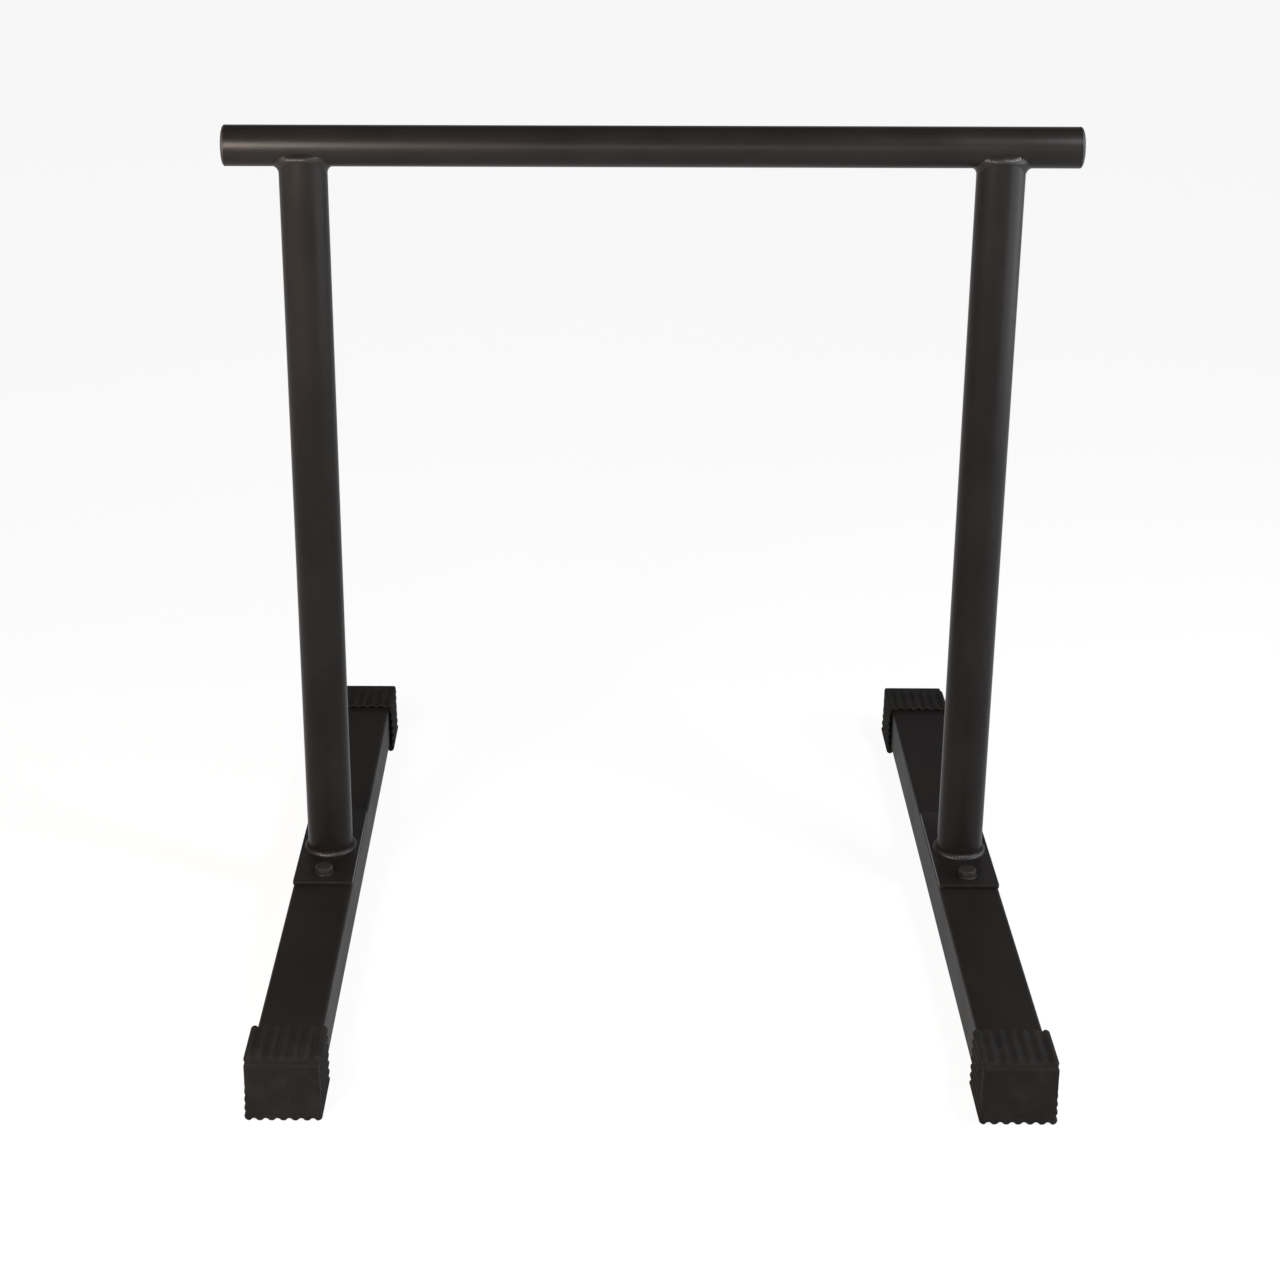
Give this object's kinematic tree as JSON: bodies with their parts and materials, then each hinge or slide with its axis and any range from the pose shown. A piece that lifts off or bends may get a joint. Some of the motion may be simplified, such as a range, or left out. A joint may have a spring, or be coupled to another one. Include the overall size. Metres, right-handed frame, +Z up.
{
  "type": "dip station",
  "caption": "Free-standing dip bar: a round grip bar on round welded uprights, bolted by base plates to box-section floor tubes with ribbed rubber end caps.",
  "frame": {"origin": "on the floor, at the centre of the rectangle that the four rubber caps stand in", "axes": "+X along the grip bar, to the right as the picture shows it; +Y from front to back along the floor tubes; +Z up"},
  "size_m": [0.665, 0.66, 0.676],
  "materials": {
    "frame_powder_coat": "fine-textured satin black powder coat on welded steel",
    "cap_rubber": "matte black moulded rubber",
    "plug_plastic": "satin black moulded plastic",
    "fastener_black": "black oxide steel, slightly oily sheen",
    "nut_steel": "plain steel, dulled by welding heat"
  },
  "bodies": {
    "root": {"grip_bar": "frame_powder_coat", "bar_end_plug_left": "plug_plastic", "bar_end_plug_right": "plug_plastic", "upright_left": "frame_powder_coat", "upright_right": "frame_powder_coat", "saddle_weld_left": "frame_powder_coat", "saddle_weld_right": "frame_powder_coat", "base_weld_left": "frame_powder_coat", "base_weld_right": "frame_powder_coat", "base_plate_left": "frame_powder_coat", "base_plate_right": "frame_powder_coat", "floor_tube_left": "frame_powder_coat", "floor_tube_right": "frame_powder_coat", "foot_cap_left_front": "cap_rubber", "foot_cap_left_rear": "cap_rubber", "foot_cap_right_front": "cap_rubber", "foot_cap_right_rear": "cap_rubber", "hex_bolt_left_front": "fastener_black", "hex_bolt_left_rear": "fastener_black", "hex_bolt_right_front": "fastener_black", "hex_bolt_right_rear": "fastener_black", "washer_left_front": "fastener_black", "washer_left_rear": "fastener_black", "washer_right_front": "fastener_black", "washer_right_rear": "fastener_black", "weld_nut_left_front": "nut_steel", "weld_nut_left_rear": "nut_steel", "weld_nut_right_front": "nut_steel", "weld_nut_right_rear": "nut_steel"}
  },
  "joints": []
}
